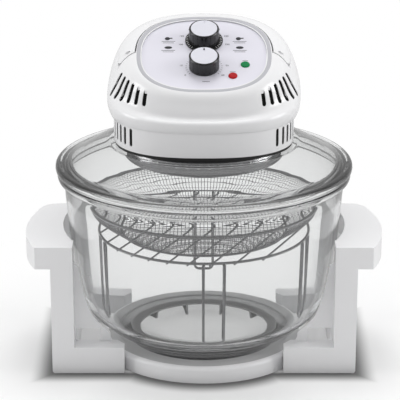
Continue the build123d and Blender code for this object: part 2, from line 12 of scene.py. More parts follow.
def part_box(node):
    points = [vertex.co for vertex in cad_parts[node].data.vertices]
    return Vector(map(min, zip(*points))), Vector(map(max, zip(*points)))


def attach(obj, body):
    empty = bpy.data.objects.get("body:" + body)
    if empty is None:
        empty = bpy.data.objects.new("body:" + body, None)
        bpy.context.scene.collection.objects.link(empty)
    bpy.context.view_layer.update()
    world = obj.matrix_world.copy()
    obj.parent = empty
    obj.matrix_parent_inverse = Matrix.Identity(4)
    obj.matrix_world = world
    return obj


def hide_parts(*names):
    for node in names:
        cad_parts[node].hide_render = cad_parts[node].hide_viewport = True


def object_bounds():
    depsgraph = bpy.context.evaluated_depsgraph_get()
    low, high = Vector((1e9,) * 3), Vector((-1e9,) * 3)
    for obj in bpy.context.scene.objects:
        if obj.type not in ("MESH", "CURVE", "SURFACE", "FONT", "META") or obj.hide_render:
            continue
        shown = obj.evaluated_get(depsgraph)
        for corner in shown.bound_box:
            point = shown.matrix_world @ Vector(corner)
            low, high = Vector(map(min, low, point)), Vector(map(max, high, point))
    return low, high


bl_info = {
    "name": "Halogen Oven",
    "version": (1, 0, 0),
    "blender": (4, 5, 0),
    "location": "3D View > Sidebar > Oven",
    "description": "Builds the finished surfaces and fine parts of a glass-bowl convection oven",
    "category": "Add Mesh",
}

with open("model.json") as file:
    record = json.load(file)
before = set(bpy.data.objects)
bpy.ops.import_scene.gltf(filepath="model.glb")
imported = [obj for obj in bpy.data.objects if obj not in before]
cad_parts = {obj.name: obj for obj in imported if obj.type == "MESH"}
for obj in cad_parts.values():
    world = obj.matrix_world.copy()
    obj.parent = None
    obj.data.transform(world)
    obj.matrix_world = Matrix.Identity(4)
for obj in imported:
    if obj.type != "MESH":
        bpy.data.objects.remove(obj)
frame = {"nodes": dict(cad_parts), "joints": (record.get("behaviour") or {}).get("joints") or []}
NODES = frame["nodes"]
CAD_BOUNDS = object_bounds()
MM = 0.001

# ---- places read from the frame, in metres ----
BOWL_LOW, BOWL_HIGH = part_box("glass_bowl")
LID_LOW, LID_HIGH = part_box("glass_lid")
RIM_LOW, RIM_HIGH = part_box("basket_rim")
RING_LOW, RING_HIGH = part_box("rack_ring")
_, CROSS_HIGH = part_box("wire_rack")
FOOT_LOW, FOOT_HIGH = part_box("basket_foot_ring")
_, SKIRT_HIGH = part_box("base_ring")
FLOOR_Z = CAD_BOUNDS[0][2]
STAND_FEET = [v.co for v in NODES["side_frame_right"].data.vertices
              if v.co.z < FLOOR_Z + 10 * MM]
STAND_OUT = max(co.x for co in STAND_FEET)
STAND_FRONT, STAND_BACK = min(co.y for co in STAND_FEET), max(co.y for co in STAND_FEET)
JOINTS = {joint["name"]: joint for joint in frame["joints"]}
UPPER_KNOB = Vector(JOINTS["temperature_turn"]["pos_m"])
LOWER_KNOB = Vector(JOINTS["timer_turn"]["pos_m"])
PANEL_NORMAL = Vector(JOINTS["timer_turn"]["axis"]).normalized()
PANEL_UP = Vector((0, PANEL_NORMAL.z, -PANEL_NORMAL.y))

# ---- wires ----
SOLID_WIRE = 2.2 * MM  # radius of the rim and the rack's ring in the construction
SOLID_FOOT = 1.5 * MM  # radius of the basket's foot ring in the construction
RIM_WIRE = 1.7 * MM
FOOT_WIRE = 1.4 * MM
RING_WIRE = 1.5 * MM
CROSS_WIRE = 1.0 * MM
CROSS_STEP = 2.4 * MM  # from the ring's height to the cross wires'
CROSS_COUNT = 10
CROSS_PITCH = 22  # in millimetres
CROSS_TURN = 65  # in degrees
LEG_TRIM = 0.6  # taken off the legs' radius, in millimetres

# ---- head and lid, in millimetres ----
DOME_WALL = 3.0
PANEL_MIDDLE = -12  # the panel's middle from front to back
PANEL_ACROSS, PANEL_UPWARD = 73, 66  # half axes of the panel's outline
PANEL_FACE = -1.5  # height of the panel's face in the panel's own frame
FIGURE_SIZE = 3.4  # of the dials' figures
TEMPERATURE_TICKS = 18.9  # radius of the marks round each knob
TIMER_TICKS = 19.3


# ---- settings ----

class OvenSizes(bpy.types.PropertyGroup):
    """Sizes that a user may change without moving anything that fits or turns."""
    mesh_pitch: bpy.props.FloatProperty(
        name="Mesh pitch", description="Spacing of the basket's fine wires",
        default=4.2 * MM, min=2 * MM, max=12 * MM, unit="LENGTH")
    mesh_wire: bpy.props.FloatProperty(
        name="Mesh wire radius", description="Radius of the basket's fine wires",
        default=0.32 * MM, min=0.2 * MM, max=1 * MM, unit="LENGTH")
    edge_round: bpy.props.FloatProperty(
        name="Edge rounding", description="Radius on the edges of the stand's side frames",
        default=1.4 * MM, min=0.2 * MM, max=3 * MM, unit="LENGTH")
    turns: bpy.props.IntProperty(
        name="Lathe segments", description="Segments round the bowl and the lid",
        default=192, min=48, max=256)
    dial_marks: bpy.props.IntProperty(
        name="Dial marks", description="Number of marks printed round the temperature knob",
        default=31, min=7, max=61)


class OvenFinish(bpy.types.PropertyGroup):
    """Colours of the visible finishes."""
    shell: bpy.props.FloatVectorProperty(
        name="Housing", description="Colour of the head and stand mouldings",
        subtype="COLOR", size=3, default=(0.83, 0.83, 0.84), min=0, max=1)
    panel: bpy.props.FloatVectorProperty(
        name="Panel", description="Colour of the control panel's face",
        subtype="COLOR", size=3, default=(0.70, 0.69, 0.76), min=0, max=1)
    knob_face: bpy.props.FloatVectorProperty(
        name="Knob face", description="Colour of the knobs' inlaid faces",
        subtype="COLOR", size=3, default=(0.66, 0.66, 0.72), min=0, max=1)
    black: bpy.props.FloatVectorProperty(
        name="Black plastic", description="Colour of the knob skirts and dial",
        subtype="COLOR", size=3, default=(0.012, 0.012, 0.013), min=0, max=1)


# ---- materials ----

def new_group(name, inputs, outputs):
    """An empty shader node group with the named sockets, all of them plain numbers."""
    group = bpy.data.node_groups.new(name, "ShaderNodeTree")
    for label, value in inputs:
        socket = group.interface.new_socket(label, in_out="INPUT", socket_type="NodeSocketFloat")
        socket.default_value = value
    for label in outputs:
        group.interface.new_socket(label, in_out="OUTPUT", socket_type="NodeSocketFloat")
    return group, group.nodes.new("NodeGroupInput"), group.nodes.new("NodeGroupOutput")


def feed(links, socket, value):
    """Sets a socket to a plain number, or links it to another node's output."""
    if isinstance(value, (int, float)):
        socket.default_value = value
    else:
        links.new(value, socket)


def math_node(nodes, links, operation, *values):
    """A math node fed by sockets or plain numbers; returns its result."""
    node = nodes.new("ShaderNodeMath")
    node.operation = operation
    for socket, value in zip(node.inputs, values):
        feed(links, socket, value)
    return node.outputs[0]


def ramp(nodes, links, value, span, levels):
    """A smooth step between two levels while the value crosses a span."""
    node = nodes.new("ShaderNodeMapRange")
    node.interpolation_type = "SMOOTHSTEP"
    for label, number in zip(("From Min", "From Max", "To Min", "To Max"), (*span, *levels)):
        node.inputs[label].default_value = number
    links.new(value, node.inputs["Value"])
    return node.outputs["Result"]


def mix_value(nodes, links, share, first, second):
    """first where the share is 0 and second where it is 1."""
    node = nodes.new("ShaderNodeMix")
    node.data_type = "FLOAT"
    links.new(share, node.inputs["Factor"])
    feed(links, node.inputs["A"], first)
    feed(links, node.inputs["B"], second)
    return node.outputs["Result"]


def handling_group():
    """Fine unevenness of a handled surface: a height for bump and a roughness."""
    name = "handled_surface"
    if name in bpy.data.node_groups:
        return bpy.data.node_groups[name]
    group, inside, outside = new_group(
        name, (("Grain", 900.0), ("Smears", 14.0), ("Roughness", 0.3), ("Spread", 0.08)),
        ("Height", "Roughness"))
    nodes, links = group.nodes, group.links
    place = nodes.new("ShaderNodeTexCoord")
    grain = nodes.new("ShaderNodeTexNoise")
    grain.inputs["Detail"].default_value = 2.0
    smears = nodes.new("ShaderNodeTexNoise")
    smears.inputs["Detail"].default_value = 5.0
    links.new(place.outputs["Object"], grain.inputs["Vector"])
    links.new(place.outputs["Object"], smears.inputs["Vector"])
    links.new(inside.outputs["Grain"], grain.inputs["Scale"])
    links.new(inside.outputs["Smears"], smears.inputs["Scale"])
    centred = math_node(nodes, links, "SUBTRACT", smears.outputs["Fac"], 0.5)
    roughness = math_node(nodes, links, "MULTIPLY_ADD", centred, inside.outputs["Spread"],
                          inside.outputs["Roughness"])
    links.new(grain.outputs["Fac"], outside.inputs["Height"])
    links.new(roughness, outside.inputs["Roughness"])
    return group


def brushed_group():
    """Fine turning marks round the upright axis: a height and a roughness."""
    name = "turned_metal"
    if name in bpy.data.node_groups:
        return bpy.data.node_groups[name]
    group, inside, outside = new_group(
        name, (("Lines", 1400.0), ("Roughness", 0.2), ("Spread", 0.2)), ("Height", "Roughness"))
    nodes, links = group.nodes, group.links
    place = nodes.new("ShaderNodeTexCoord")
    squeeze = nodes.new("ShaderNodeMapping")
    squeeze.inputs["Scale"].default_value = (0.02, 0.02, 1.0)
    lines = nodes.new("ShaderNodeTexNoise")
    lines.inputs["Detail"].default_value = 4.0
    links.new(place.outputs["Object"], squeeze.inputs["Vector"])
    links.new(squeeze.outputs["Vector"], lines.inputs["Vector"])
    links.new(inside.outputs["Lines"], lines.inputs["Scale"])
    roughness = math_node(nodes, links, "MULTIPLY_ADD", lines.outputs["Fac"],
                          inside.outputs["Spread"], inside.outputs["Roughness"])
    links.new(lines.outputs["Fac"], outside.inputs["Height"])
    links.new(roughness, outside.inputs["Roughness"])
    return group


def bare_material(name):
    material = bpy.data.materials.new(name)
    material.use_nodes = True
    return material, material.node_tree.nodes, material.node_tree.links


def add_relief(material, group, scale, grain, roughness, spread, bump, depth):
    """Feeds a material's roughness and bump from a shared group; scale names the group's input."""
    nodes, links = material.node_tree.nodes, material.node_tree.links
    shader = nodes["Principled BSDF"]
    effect = nodes.new("ShaderNodeGroup")
    effect.node_tree = group
    effect.inputs["Roughness"].default_value = roughness
    effect.inputs["Spread"].default_value = spread
    effect.inputs[scale].default_value = grain
    relief = nodes.new("ShaderNodeBump")
    relief.inputs["Strength"].default_value = bump
    relief.inputs["Distance"].default_value = depth
    links.new(effect.outputs["Roughness"], shader.inputs["Roughness"])
    links.new(effect.outputs["Height"], relief.inputs["Height"])
    links.new(relief.outputs["Normal"], shader.inputs["Normal"])
    return material


def finish_material(name, color, roughness, metallic=0.0, spread=0.06, grain=900.0, bump=0.02,
                    group=None, coat=0.0, specular=0.5):
    """A surface with its own colour whose roughness and bump come from a shared group."""
    if name in bpy.data.materials:
        return bpy.data.materials[name]
    material, nodes, _ = bare_material(name)
    shader = nodes["Principled BSDF"]
    shader.inputs["Base Color"].default_value = (*color, 1.0)
    shader.inputs["Metallic"].default_value = metallic
    shader.inputs["Coat Weight"].default_value = coat
    shader.inputs["Coat Roughness"].default_value = 0.06
    shader.inputs["Specular IOR Level"].default_value = specular
    return add_relief(material, group or handling_group(), "Lines" if group else "Grain",
                      grain, roughness, spread, bump, 0.2 * MM)


def glass_material(name, color, roughness=0.0, ior=1.5):
    """Clear glass with a very slight waviness."""
    if name in bpy.data.materials:
        return bpy.data.materials[name]
    material, nodes, _ = bare_material(name)
    shader = nodes["Principled BSDF"]
    shader.inputs["Base Color"].default_value = (*color, 1.0)
    shader.inputs["Metallic"].default_value = 0.0
    shader.inputs["Transmission Weight"].default_value = 1.0
    shader.inputs["IOR"].default_value = ior
    return add_relief(material, handling_group(), "Grain", 16.0, roughness,
                      spread=0.01, bump=0.05, depth=0.5 * MM)


def finish_of():
    return bpy.context.scene.oven_finish


def housing_white():
    return finish_material("gloss_white_moulding", finish_of().shell, 0.22, coat=0.25, bump=0.03)


def stand_white():
    return finish_material("satin_white_moulding", finish_of().shell, 0.34, coat=0.1, bump=0.05)


def panel_face():
    return finish_material("panel_face", finish_of().panel, 0.30, bump=0.02)


def black_gloss():
    return finish_material("black_gloss_plastic", finish_of().black, 0.22, bump=0.03)


def knob_inlay():
    return finish_material("knob_inlay", finish_of().knob_face, 0.30, bump=0.02)


PLAIN_FINISHES = {  # name: colour, roughness and what else finish_material is told
    # painted shade: the seat under the bowl is grey, not white, for the shadow that the bowl's
    # glass does not cast
    "seat_moulding": ((0.46, 0.46, 0.465), 0.45, {"bump": 0.06}),
    "black_rubber": ((0.012, 0.012, 0.012), 0.62, {"bump": 0.12, "grain": 1500.0}),
    "chrome_wire": ((0.84, 0.84, 0.86), 0.12, {"metallic": 1.0, "spread": 0.10}),
    "plated_steel": ((0.50, 0.50, 0.51), 0.28, {"metallic": 1.0, "spread": 0.15}),
    "mill_aluminium": ((0.68, 0.68, 0.69), 0.35, {"metallic": 1.0, "spread": 0.12}),
    "varnished_iron": ((0.05, 0.05, 0.055), 0.45, {"metallic": 0.6, "bump": 0.1}),
    "ceramic_holder": ((0.72, 0.70, 0.64), 0.55, {"bump": 0.1}),
    "panel_border_grey": ((0.46, 0.46, 0.49), 0.32, {}),
    # painted shade: near black for the sheets behind the vent slots, where the housing's inside is
    # only unlit
    "vent_dark": ((0.004, 0.004, 0.004), 0.8, {"specular": 0.1}),
    "print_ink": ((0.02, 0.02, 0.025), 0.5, {}),
    "print_white": ((0.75, 0.75, 0.75), 0.5, {}),
}


def plain(name):
    """One of the plain finishes."""
    color, roughness, settings = PLAIN_FINISHES[name]
    return finish_material(name, color, roughness, **settings)


def spun_metal():
    return finish_material("spun_reflector", (0.70, 0.70, 0.71), 0.10, metallic=1.0, spread=0.10,
                           group=brushed_group(), grain=1200.0, bump=0.015)


def bowl_glass():
    return glass_material("bowl_glass", (0.935, 0.94, 0.94))


def lamp_glass():
    return glass_material("lamp_glass", (0.96, 0.94, 0.90), 0.08)


def lens_material(name, color):
    """A coloured lens, faintly lit from behind."""
    material = finish_material(name, color, 0.2, bump=0.02, specular=0.3)
    shader = material.node_tree.nodes["Principled BSDF"]
    shader.inputs["Emission Color"].default_value = (*color, 1.0)
    shader.inputs["Emission Strength"].default_value = 0.25
    return material


# ---- mesh helpers ----

def link(name, mesh):
    """A new object in the scene that shows the mesh."""
    item = bpy.data.objects.new(name, mesh)
    bpy.context.scene.collection.objects.link(item)
    return item


def settle(item, body, material=None, nodes=()):
    """Gives a finished piece its material and body, and hides the nodes that it stands for."""
    if material is not None:
        item.data.materials.clear()
        item.data.materials.append(material)
    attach(item, body)
    if nodes:
        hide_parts(*nodes)
    return item


def to_mesh(name, bm):
    """A new mesh that holds what was built; the builder is let go."""
    mesh = bpy.data.meshes.new(name)
    bm.to_mesh(mesh)
    bm.free()
    return mesh


def mesh_from(name, build, smooth=40.0):
    """A mesh object filled by build(bm), smooth except at edges sharper than the angle."""
    bm = bmesh.new()
    build(bm)
    bmesh.ops.recalc_face_normals(bm, faces=bm.faces)
    mesh = to_mesh(name, bm)
    mesh.polygons.foreach_set("use_smooth", [True] * len(mesh.polygons))
    mesh.set_sharp_from_angle(angle=math.radians(smooth))
    return link(name, mesh)


def smooth_line(points, steps):
    """Points on a smooth line through the given ones, with steps in each span."""
    line = []
    count = len(points)
    for i in range(count - 1):
        p0 = points[max(i - 1, 0)]
        p1 = points[i]
        p2 = points[i + 1]
        p3 = points[min(i + 2, count - 1)]
        for k in range(steps):
            t = k / steps
            line.append(tuple(
                0.5 * ((2 * b) + (c - a) * t + (2 * a - 5 * b + 4 * c - d) * t * t
                       + (3 * b - a - 3 * c + d) * t ** 3)
                for a, b, c, d in zip(p0, p1, p2, p3)))
    line.append(tuple(points[-1]))
    return line


def offset_line(line, distance):
    """The line moved sideways, to its left seen along it, by a distance."""
    moved = []
    for i, point in enumerate(line):
        before = Vector(line[max(i - 1, 0)])
        after = Vector(line[min(i + 1, len(line) - 1)])
        run = (after - before).normalized()
        moved.append((point[0] - run.y * distance, point[1] + run.x * distance))
    return moved


def ring_points(radius, z, count):
    """Points of a level circle round the upright axis."""
    turns = (2 * math.pi * k / count for k in range(count))
    return [(radius * math.cos(turn), radius * math.sin(turn), z) for turn in turns]


def bridge(bm, first, second, closed=True):
    """Faces between two rows of as many vertices."""
    count = len(first)
    for k in range(count if closed else count - 1):
        j = (k + 1) % count
        bm.faces.new((first[k], first[j], second[j], second[k]))


def lathe(bm, profile, turns, closed=True):
    """Turns a profile of (radius, height) in millimetres about the upright axis."""
    rings = []
    for radius, height in profile:
        points = ring_points(radius * MM, height * MM, turns) if radius else [(0, 0, height * MM)]
        rings.append([bm.verts.new(point) for point in points])
    pairs = list(zip(rings, rings[1:]))
    if closed:
        pairs.append((rings[-1], rings[0]))
    for low, high in pairs:
        for k in range(turns):
            j = (k + 1) % turns
            corners = []
            for v in (low[k % len(low)], low[j % len(low)],
                      high[j % len(high)], high[k % len(high)]):
                if v not in corners:
                    corners.append(v)
            if len(corners) > 2:
                bm.faces.new(corners)


def node_copy(node, name, angle=32.0, round_by=0.0, segments=3):
    """A merged, smooth copy of a CAD node, with its edges rounded where asked."""
    source = NODES[node]
    mesh = source.data.copy()
    mesh.name = name
    bm = bmesh.new()
    bm.from_mesh(mesh)
    bmesh.ops.remove_doubles(bm, verts=bm.verts, dist=0.004 * MM)
    bmesh.ops.dissolve_limit(bm, angle_limit=math.radians(0.6), verts=bm.verts, edges=bm.edges)
    bm.to_mesh(mesh)
    bm.free()
    if mesh.attributes.get("custom_normal"):
        mesh.attributes.remove(mesh.attributes["custom_normal"])
    mesh.polygons.foreach_set("use_smooth", [True] * len(mesh.polygons))
    mesh.set_sharp_from_angle(angle=math.radians(angle))
    item = link(name, mesh)
    if round_by:
        bevel = item.modifiers.new("rounding", "BEVEL")
        bevel.width = round_by
        bevel.segments = segments
        bevel.limit_method = "ANGLE"
        bevel.angle_limit = math.radians(angle)
        bevel.harden_normals = True
    return item


# ---- wire work by Geometry Nodes ----

def wire_tree():
    """Turns every edge of a mesh into a round wire of a set radius."""
    name = "wires_on_edges"
    if name in bpy.data.node_groups:
        return bpy.data.node_groups[name]
    tree = bpy.data.node_groups.new(name, "GeometryNodeTree")
    for label, kind, way in (("Geometry", "Geometry", "INPUT"), ("Radius", "Float", "INPUT"),
                             ("Sides", "Int", "INPUT"), ("Material", "Material", "INPUT"),
                             ("Geometry", "Geometry", "OUTPUT")):
        tree.interface.new_socket(label, in_out=way, socket_type="NodeSocket" + kind)
    nodes, links = tree.nodes, tree.links
    inside = nodes.new("NodeGroupInput")
    outside = nodes.new("NodeGroupOutput")
    to_curve = nodes.new("GeometryNodeMeshToCurve")
    circle = nodes.new("GeometryNodeCurvePrimitiveCircle")
    tube = nodes.new("GeometryNodeCurveToMesh")
    tube.inputs["Fill Caps"].default_value = True
    realize = nodes.new("GeometryNodeRealizeInstances")
    paint = nodes.new("GeometryNodeSetMaterial")
    smooth = nodes.new("GeometryNodeSetShadeSmooth")
    links.new(inside.outputs["Geometry"], to_curve.inputs["Mesh"])
    links.new(inside.outputs["Radius"], circle.inputs["Radius"])
    links.new(inside.outputs["Sides"], circle.inputs["Resolution"])
    links.new(to_curve.outputs["Curve"], tube.inputs["Curve"])
    links.new(circle.outputs["Curve"], tube.inputs["Profile Curve"])
    links.new(tube.outputs["Mesh"], smooth.inputs["Geometry"])
    links.new(smooth.outputs["Geometry"], realize.inputs["Geometry"])
    links.new(realize.outputs["Geometry"], paint.inputs["Geometry"])
    links.new(inside.outputs["Material"], paint.inputs["Material"])
    links.new(paint.outputs["Geometry"], outside.inputs["Geometry"])
    return tree


def run_tree(item, tree, values):
    """Runs a Geometry Nodes tree on an object and keeps the result as a plain mesh."""
    modifier = item.modifiers.new("build", "NODES")
    modifier.node_group = tree
    for entry in tree.interface.items_tree:
        if entry.in_out == "INPUT" and entry.name in values:
            modifier[entry.identifier] = values[entry.name]
    item.update_tag()
    bpy.context.view_layer.update()
    evaluated = item.evaluated_get(bpy.context.evaluated_depsgraph_get())
    mesh = bpy.data.meshes.new_from_object(evaluated)
    item.modifiers.remove(modifier)
    item.data = mesh
    return item


def wires(name, paths, radius, sides, material):
    """Round wires along paths; a path is (points in metres, closed)."""
    bm = bmesh.new()
    for points, closed in paths:
        verts = [bm.verts.new(p) for p in points]
        for a, b in zip(verts, verts[1:]):
            bm.edges.new((a, b))
        if closed:
            bm.edges.new((verts[-1], verts[0]))
    return run_tree(link(name, to_mesh(name, bm)), wire_tree(),
                    {"Radius": radius, "Sides": sides, "Material": material})


def circle_path(radius, z, count=160):
    """A closed path for wires()."""
    return ring_points(radius, z, count), True


def turned(points, degrees):
    """The points turned about the upright axis."""
    turn = Matrix.Rotation(math.radians(degrees), 4, "Z")
    return [tuple(turn @ Vector(p)) for p in points]


# ---- panel and vent helpers ----

def panel_frame():
    """Matrix from panel millimetres (across, up the slope, outward) to the row frame."""
    middle = PANEL_MIDDLE * MM
    origin = UPPER_KNOB + PANEL_UP * ((middle - UPPER_KNOB.y) / PANEL_UP.y)
    turn = Matrix((Vector((1, 0, 0)), PANEL_UP, PANEL_NORMAL)).transposed().to_4x4()
    return Matrix.Translation(origin) @ turn @ Matrix.Scale(MM, 4)


def up_slope(point):
    """Distance up the panel's slope from its middle, in millimetres."""
    return (panel_frame().inverted() @ point).y


def oval_point(a, b, angle, power=2.5):
    """Point of the panel's superellipse."""
    c, s = math.cos(angle), math.sin(angle)
    return (a * math.copysign(abs(c) ** (2 / power), c),
            b * math.copysign(abs(s) ** (2 / power), s))


def add_slab(bm, outline, low, high, place):
    """A flat slab with the given outline, between two heights on the panel."""
    bottom = [bm.verts.new(place @ Vector((x, y, low))) for x, y in outline]
    top = [bm.verts.new(place @ Vector((x, y, high))) for x, y in outline]
    bm.faces.new(top)
    bm.faces.new(list(reversed(bottom)))
    for i in range(len(outline)):
        j = (i + 1) % len(outline)
        bm.faces.new((bottom[i], bottom[j], top[j], top[i]))


def bar(across, up, width, height, turn=0.0):
    """Corners of a small bar on the panel."""
    c, s = math.cos(turn), math.sin(turn)
    corners = ((-width / 2, -height / 2), (width / 2, -height / 2), (width / 2, height / 2),
               (-width / 2, height / 2))
    return [(across + x * c - y * s, up + x * s + y * c) for x, y in corners]


def disc(across, up, radius, sides=16, flat=1.0):
    """Corners of a small disc on the panel, or of an oval where flat is below 1."""
    return [(across + radius * math.cos(2 * math.pi * k / sides),
             up + radius * flat * math.sin(2 * math.pi * k / sides)) for k in range(sides)]


def number_mesh(bm, text, size, place):
    """Plain figures laid flat on the panel."""
    curve = bpy.data.curves.new("figures", "FONT")
    curve.body = text
    curve.size = size
    curve.align_x = "CENTER"
    curve.align_y = "CENTER"
    curve.extrude = 0.02
    item = link("figures", curve)
    bpy.context.view_layer.update()
    evaluated = item.evaluated_get(bpy.context.evaluated_depsgraph_get())
    mesh = bpy.data.meshes.new_from_object(evaluated)
    mesh.transform(place)
    bm.from_mesh(mesh)
    bpy.data.meshes.remove(mesh)
    bpy.data.objects.remove(item)
    bpy.data.curves.remove(curve)


def outer_radius(tree, angle, z):
    """Distance from the upright axis to a shell's outside, or None where a ray goes past."""
    start, reach = 0.2, 0.15
    out = Vector((math.cos(angle), math.sin(angle), 0))
    place, _, _, distance = tree.ray_cast(Vector((0, 0, z)) + out * start, -out, reach)
    return None if place is None else start - distance


def shade_sheet(name, node, first, last, low, high, depth=0.8 * MM, thick=0.5 * MM):
    """Dark sheet set into a shell's wall behind its slots, on both sides, as painted shade for the
    unlit inside; angles in degrees.
    """
    mesh = NODES[node].data
    tree = BVHTree.FromPolygons([v.co for v in mesh.vertices], [p.vertices for p in mesh.polygons])
    columns, rows = 90, 16
    near = 12                   # columns to each side that say where the wall is whole
    slot_step = 0.8 * MM        # a radius this much smaller is inside a slot
    bm = bmesh.new()
    for side in (0, 1):
        grids = ([], [])
        for r in range(rows + 1):
            z = low + (high - low) * r / rows
            angles = [math.radians(first + (last - first) * c / columns)
                      for c in range(columns + 1)]
            if side:
                angles = [math.pi - a for a in angles]
            found = [outer_radius(tree, a, z) or 0.0 for a in angles]
            whole = [c for c, radius in enumerate(found) if radius > min(
                max(found[max(c - near, 0):c + 1]), max(found[c:c + near + 1])) - slot_step]
            for layer, inset in enumerate((depth, depth + thick)):
                ring = []
                for c, a in enumerate(angles):
                    before = max([k for k in whole if k <= c], default=whole[0])
                    after = min([k for k in whole if k >= c], default=whole[-1])
                    share = 0.0 if after == before else (c - before) / (after - before)
                    radius = found[before] * (1 - share) + found[after] * share - inset
                    ring.append(bm.verts.new((radius * math.cos(a), radius * math.sin(a), z)))
                grids[layer].append(ring)
        for grid in grids:
            for a, b in zip(grid, grid[1:]):
                bridge(bm, a, b, closed=False)
        outer, inner = grids
        for a, b in ((outer[0], inner[0]), (outer[-1], inner[-1]),
                     ([g[0] for g in outer], [g[0] for g in inner]),
                     ([g[-1] for g in outer], [g[-1] for g in inner])):
            bridge(bm, a, b, closed=False)
    bmesh.ops.recalc_face_normals(bm, faces=bm.faces)
    made = to_mesh(name, bm)
    made.polygons.foreach_set("use_smooth", [True] * len(made.polygons))
    return link(name, made)


# ---- operators ----

class OVEN_OT_glass(bpy.types.Operator):
    """Blown bowl and lid"""
    bl_idname = "oven.glass"
    bl_label = "Glass Bowl and Lid"

    def execute(self, context):
        turns = context.scene.oven_sizes.turns
        seat = BOWL_LOW[2] / MM
        mouth = BOWL_HIGH[2] / MM
        flange = BOWL_HIGH[0] / MM
        outside = smooth_line([(86, seat), (101, 28.5), (117, 40), (135, 60), (146.5, 100),
                               (154.6, 186), (155.6, 203)], 8)
        rim = smooth_line([(155.6, 203), (158, 205.2), (flange - 1, 206), (flange, 208),
                           (flange, mouth - 2), (flange - 2, mouth), (153, mouth),
                           (151, mouth - 2), (151, 204)], 3)
        inside = smooth_line([(151, 204), (149.6, 186), (141.5, 101), (130.7, 63), (114, 44.5),
                              (98.5, 33.5), (84, 25), (70, 22.2), (40, 22), (0, 22)], 8)
        profile = [(0, seat), (50, seat)] + outside[:-1] + rim[:-1] + inside
        bowl = mesh_from("bowl_glass_wall", lambda bm: lathe(bm, profile, turns, closed=False), 60)
        settle(bowl, "bowl", bowl_glass(), ("glass_bowl",))
        bowl.visible_shadow = False
        low = LID_LOW[2] / MM
        land = LID_HIGH[2] / MM
        edge = LID_HIGH[0] / MM
        dome = smooth_line([(157.5, 222.4), (150, 224.6), (140, 229.8), (130, 235.6), (118, 241.8),
                            (108, land - 0.9), (102, land), (94, land), (86, land)], 6)
        under = offset_line(dome, DOME_WALL)
        under = [point for point in reversed(under) if point[0] < 147.5]
        bead = smooth_line([(151, mouth + 0.05), (160.5, mouth + 0.05), (edge - 1.0, mouth + 1.2),
                            (edge, mouth + 4.2), (edge - 0.7, 220.4), (edge - 3.2, 222.2),
                            (157.5, 222.4)], 6)
        lip = smooth_line([(148, low + 1), (149, low), (150, low + 1), (150, mouth)], 4)
        profile = bead[:-1] + dome + under + [(148, under[-1][1] - 1)] + lip
        lid = mesh_from("lid_glass_dome", lambda bm: lathe(bm, profile, turns), 60)
        settle(lid, "lid_head", bowl_glass(), ("glass_lid",))
        lid.visible_shadow = False
        return {"FINISHED"}


class OVEN_OT_basket(bpy.types.Operator):
    """Fine wire basket with its rim"""
    bl_idname = "oven.basket"
    bl_label = "Mesh Basket"

    def execute(self, context):
        sizes, chrome = context.scene.oven_sizes, plain("chrome_wire")
        rim_r = RIM_HIGH[0] - SOLID_WIRE
        rim_z = (RIM_LOW[2] + RIM_HIGH[2]) / 2
        floor_z = (FOOT_LOW[2] + FOOT_HIGH[2]) / 2
        floor_r = FOOT_HIGH[0] - SOLID_FOOT
        wall = [(floor_r, floor_z), (rim_r * 0.955, rim_z - 12 * MM), (rim_r - 1.6 * MM, rim_z)]
        line = smooth_line(wall, 6)
        around = int(2 * math.pi * rim_r / sizes.mesh_pitch)
        bm = bmesh.new()
        rings = [[bm.verts.new(point) for point in ring_points(radius, z, around)]
                 for radius, z in line]
        for low, high in zip(rings, rings[1:]):
            for k in range(around):
                j = (k + 1) % around
                bm.edges.new((low[k], high[k]))
                bm.edges.new((high[k], high[j]))
        count = int(floor_r / sizes.mesh_pitch)
        for turn, lift in ((0.0, 0.0), (90.0, 2 * sizes.mesh_wire)):
            for k in range(-count, count + 1):
                offset = k * sizes.mesh_pitch
                half = math.sqrt(floor_r ** 2 - offset ** 2)
                ends = [(x, offset, floor_z + lift) for x in (-half, half)]
                bm.edges.new([bm.verts.new(p) for p in turned(ends, turn)])
        name = "basket_fine_mesh"
        net = run_tree(link(name, to_mesh(name, bm)), wire_tree(),
                       {"Radius": sizes.mesh_wire, "Sides": 4, "Material": chrome})
        settle(net, "basket", None, ("basket_mesh",))
        rim = wires("basket_rim_wire", [circle_path(rim_r, rim_z)], RIM_WIRE, 10, chrome)
        settle(rim, "basket", None, ("basket_rim",))
        foot = wires("basket_foot_wire", [circle_path(floor_r, floor_z, 120)], FOOT_WIRE, 8, chrome)
        settle(foot, "basket", None, ("basket_foot_ring",))
        return {"FINISHED"}


class OVEN_OT_rack(bpy.types.Operator):
    """Wire rack with its cross wires and legs"""
    bl_idname = "oven.rack"
    bl_label = "Wire Rack"

    def execute(self, context):
        ring_z = (RING_LOW[2] + RING_HIGH[2]) / 2
        chrome = plain("chrome_wire")
        over = 1 if CROSS_HIGH[2] > RING_HIGH[2] else -1
        cross_z = ring_z + over * CROSS_STEP
        ring_r = RING_HIGH[0] - SOLID_WIRE
        ring = wires("rack_ring_wire", [circle_path(ring_r, ring_z)], RING_WIRE, 10, chrome)
        settle(ring, "rack", None, ("rack_ring",))
        paths = []
        for k in range(CROSS_COUNT):
            offset = (k - (CROSS_COUNT - 1) / 2) * CROSS_PITCH * MM
            half = math.sqrt(ring_r ** 2 - offset ** 2)
            ends = [(x, offset, cross_z) for x in (-half, half)]
            paths.append((turned(ends, CROSS_TURN), False))
        cross = wires("rack_cross_wires", paths, CROSS_WIRE, 8, chrome)
        settle(cross, "rack", None, ("wire_rack",))
        for side in ("front", "left", "right", "rear"):
            leg = node_copy("rack_leg_" + side, "rack_leg_wire_" + side, 60)
            for vertex in leg.data.vertices:
                vertex.co -= vertex.normal * LEG_TRIM * MM
            settle(leg, "rack", chrome, ("rack_leg_" + side,))
        return {"FINISHED"}


